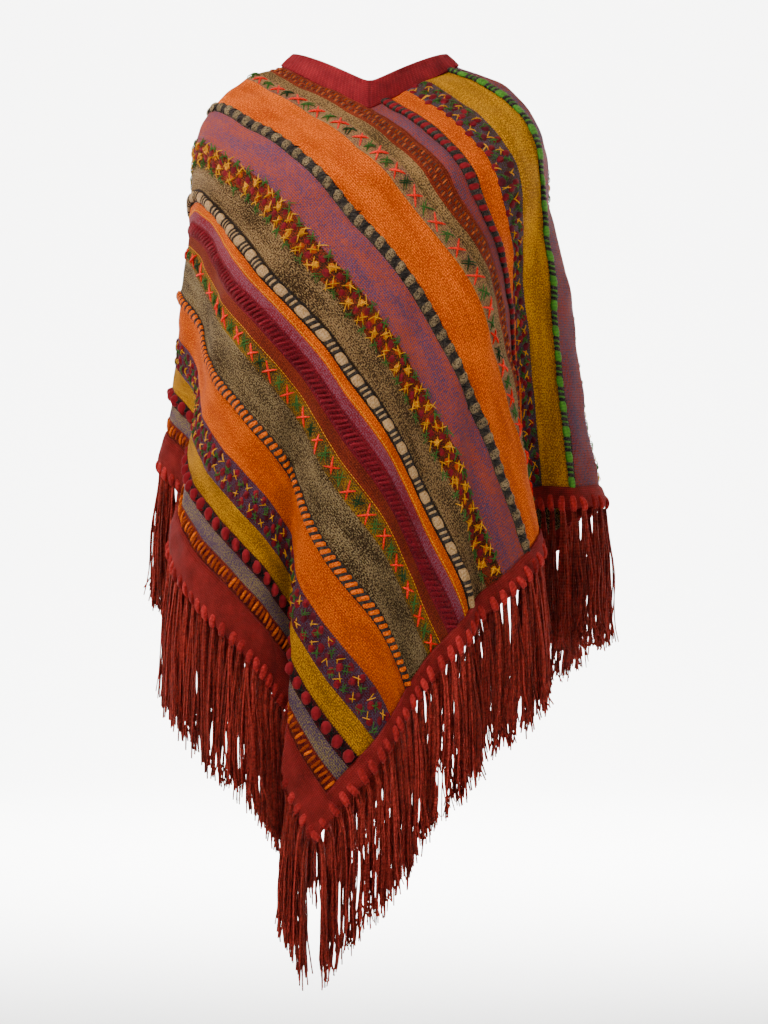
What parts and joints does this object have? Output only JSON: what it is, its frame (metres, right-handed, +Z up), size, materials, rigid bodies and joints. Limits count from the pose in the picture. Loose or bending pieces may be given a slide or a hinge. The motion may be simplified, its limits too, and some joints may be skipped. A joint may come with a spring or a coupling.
{
  "type": "andean poncho",
  "caption": "Hip-length knitted poncho of two striped panels joined in an L, with a rib neck band, hem bands and a long fringe, in its worn, hollow shape.",
  "frame": {"origin": "between the two sides of the neck hole, level with where the shoulders carry the poncho", "axes": "+Z up, -Y towards the front, +X towards the poncho's right-hand side as seen from the front"},
  "size_m": [0.5503, 0.4511, 1.0414],
  "materials": {
    "striped_knit": "thick matt knit in stripes of orange, mustard, rust, purple and tan, with raised cords and bobbles",
    "neck_rib": "matt ribbed knit, crimson",
    "hem_knit": "matt knit, raspberry",
    "fringe_yarn": "soft two-ply yarn, dark red, knotted in bunches"
  },
  "bodies": {
    "root": {"panel_left": "striped_knit", "panel_right": "striped_knit", "hem_band_left": "hem_knit", "hem_band_front": "hem_knit", "hem_band_right": "hem_knit", "hem_band_back": "hem_knit", "neck_band": "neck_rib", "fringe_left": "fringe_yarn", "fringe_front": "fringe_yarn", "fringe_right": "fringe_yarn", "fringe_back": "fringe_yarn"}
  },
  "joints": []
}
